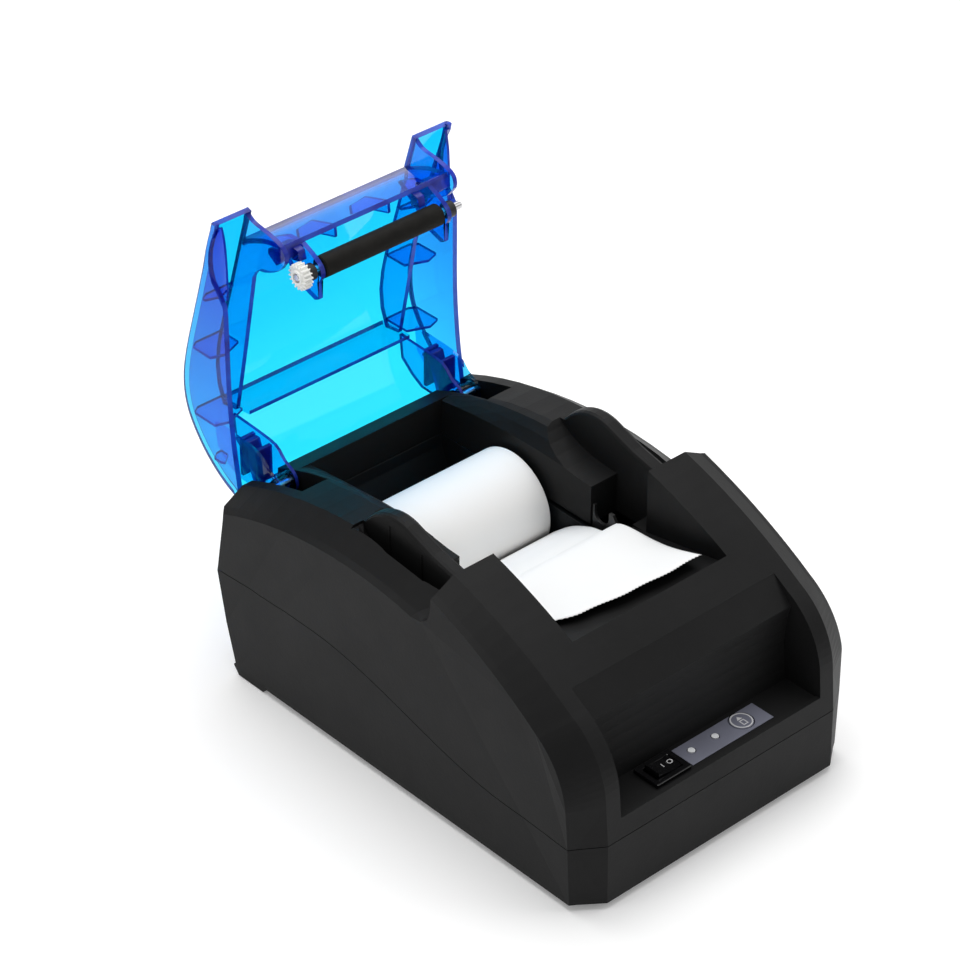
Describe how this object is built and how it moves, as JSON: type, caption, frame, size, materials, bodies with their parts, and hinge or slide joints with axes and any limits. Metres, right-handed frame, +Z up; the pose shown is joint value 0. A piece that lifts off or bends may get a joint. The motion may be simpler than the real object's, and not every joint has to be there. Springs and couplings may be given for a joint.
{
  "type": "receipt printer",
  "caption": "Desktop receipt printer standing open: black case with a paper roll in its bay, and a clear blue hinged cover that carries the roller and its gear.",
  "frame": {"origin": "on the floor, under the middle of the printer's bounding box with its cover open", "axes": "+X to the right seen from the front, -Y to the front where the switch and the button are, +Z up"},
  "size_m": [0.13, 0.2164, 0.1743],
  "materials": {
    "case_plastic": "fine-grained black ABS",
    "bin_plastic": "smooth black moulding",
    "gloss_black": "polished black",
    "black_nylon": "satin black",
    "clear_blue": "clear blue, tinted right through",
    "white_nylon": "white nylon",
    "roller_rubber": "ground rubber",
    "foot_rubber": "matte black rubber",
    "bright_steel": "bright steel",
    "black_steel": "satin black coating",
    "zinc_steel": "zinc-plated steel",
    "head_ceramic": "ceramic print line",
    "label_grey": "satin grey film",
    "led_white": "milky light pipe",
    "board_green": "green solder mask",
    "white_paper": "smooth thermal paper",
    "kraft_card": "kraft card"
  },
  "bodies": {
    "case": {"lower_case": "case_plastic", "upper_case": "case_plastic", "paper_bin": "bin_plastic", "head_bracket": "black_steel", "print_head": "head_ceramic", "tear_bar": "zinc_steel", "stepper_motor": "zinc_steel", "main_board": "board_green", "control_board": "board_green", "feed_switch": "black_nylon", "paper_sensor": "black_nylon", "power_jack": "black_nylon", "usb_port": "bright_steel", "cash_drawer_port": "black_nylon", "switch_body": "gloss_black", "panel_label": "label_grey", "led_power": "led_white", "led_status": "led_white", "foot_front_left": "foot_rubber", "foot_front_right": "foot_rubber", "foot_rear_left": "foot_rubber", "foot_rear_right": "foot_rubber", "case_screw_front_left": "zinc_steel", "case_screw_front_right": "zinc_steel", "case_screw_rear_left": "zinc_steel", "case_screw_rear_right": "zinc_steel", "hinge_pin_left": "bright_steel", "hinge_pin_right": "bright_steel", "receipt_sheet": "white_paper"},
    "cover": {"cover_shell": "clear_blue", "bush_left": "black_nylon", "bush_right": "black_nylon"},
    "platen": {"platen_shaft": "bright_steel", "platen_rubber": "roller_rubber", "platen_gear": "white_nylon"},
    "roll": {"paper_roll": "white_paper", "paper_core": "kraft_card"},
    "button": {"feed_button": "label_grey"},
    "rocker": {"rocker": "gloss_black"},
    "pinion": {"motor_pinion": "white_nylon"},
    "idler": {"idler_gear": "white_nylon"}
  },
  "joints": [
    {"name": "cover_hinge", "type": "hinge", "parent": "case", "child": "cover", "pos_m": [0, 0.06747, 0.0741], "axis": [1, 0, 0], "range_deg": [0, 90]},
    {"name": "platen_spin", "type": "hinge", "parent": "cover", "child": "platen", "pos_m": [0, 0.06327, 0.1574], "axis": [1, 0, 0], "continuous": true},
    {"name": "roll_spin", "type": "hinge", "parent": "case", "child": "roll", "pos_m": [0, 0.02647, 0.0564], "axis": [1, 0, 0], "continuous": true},
    {"name": "feed_button_press", "type": "slide", "parent": "case", "child": "button", "axis": [0, 0, -1], "range_m": [0, 0.0008], "stiffness_N_per_m": 400, "springref_m": -0.0008},
    {"name": "rocker_tilt", "type": "hinge", "parent": "case", "child": "rocker", "pos_m": [-0.0195, -0.09833, 0.0341], "axis": [0, -1, 0], "range_deg": [0, 16]},
    {"name": "idler_spin", "type": "hinge", "parent": "case", "child": "idler", "pos_m": [-0.0349, -0.01683, 0.0571], "axis": [1, 0, 0], "continuous": true},
    {"name": "pinion_spin", "type": "hinge", "parent": "case", "child": "pinion", "pos_m": [-0.0349, -0.02423, 0.05], "axis": [1, 0, 0], "continuous": true}
  ],
  "couplings": [
    {"joint": "pinion_spin", "follows": "idler_spin", "ratio": -2.5}
  ]
}
